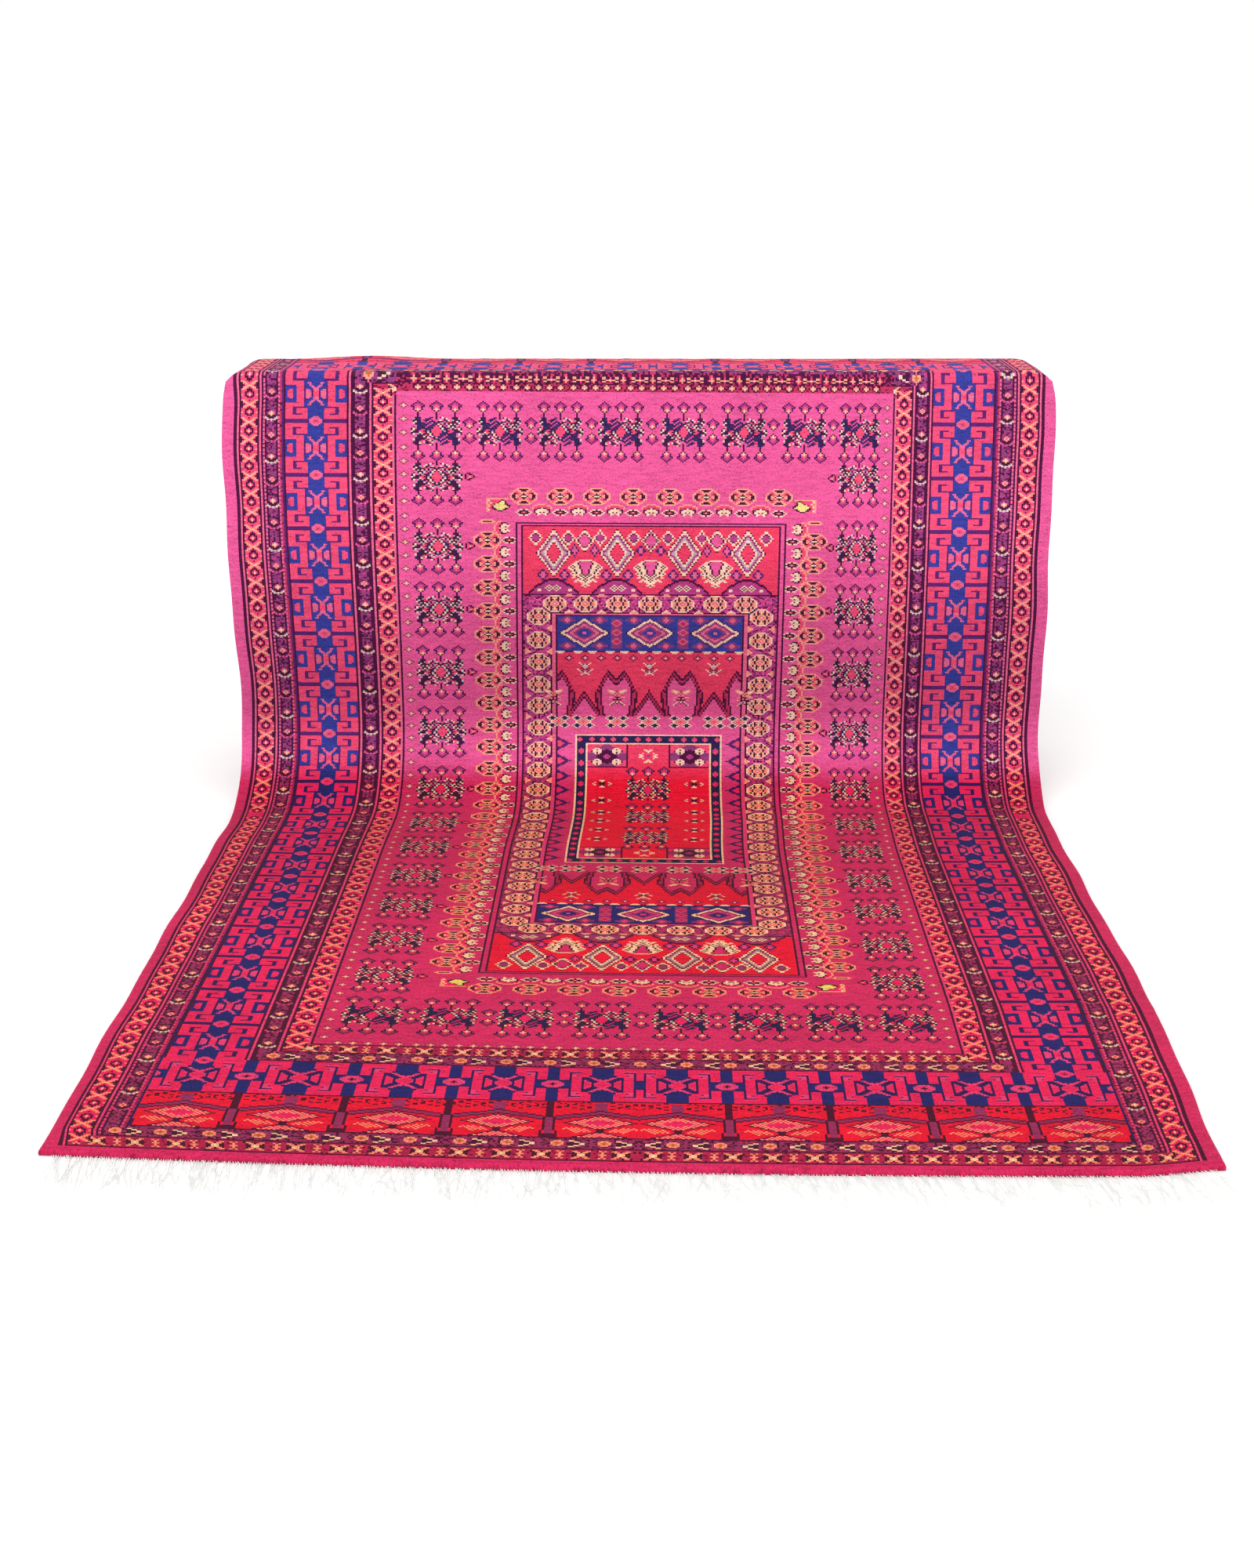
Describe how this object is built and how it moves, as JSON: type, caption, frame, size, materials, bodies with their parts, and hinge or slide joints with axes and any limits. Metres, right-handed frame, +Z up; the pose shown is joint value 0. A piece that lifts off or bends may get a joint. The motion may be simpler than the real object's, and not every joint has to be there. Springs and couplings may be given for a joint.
{
  "type": "turkmen rug draped over a plain table",
  "caption": "Hand-knotted pile rug with bordered ends and fringes, draped over the front edge of a plain narrow wooden table and out along the floor",
  "frame": {"origin": "On the floor, under the middle of the bounding box", "axes": "+Z up, +X to the right of someone facing the rug, +Y away from that person, from the rug's end on the floor to the table"},
  "size_m": [1.2708, 1.3637, 0.6537],
  "materials": {
    "pile": "knotted pile with a soft sheen, patterned",
    "fringe": "undyed cotton warp ends",
    "table": "plain oiled pine"
  },
  "bodies": {
    "root": {"rug": "pile", "fringe_near": "fringe", "fringe_far": "fringe", "table_top": "table", "leg_front_left": "table", "leg_back_left": "table", "leg_front_right": "table", "leg_back_right": "table", "apron_front": "table", "apron_back": "table", "apron_left": "table", "apron_right": "table"}
  },
  "joints": []
}
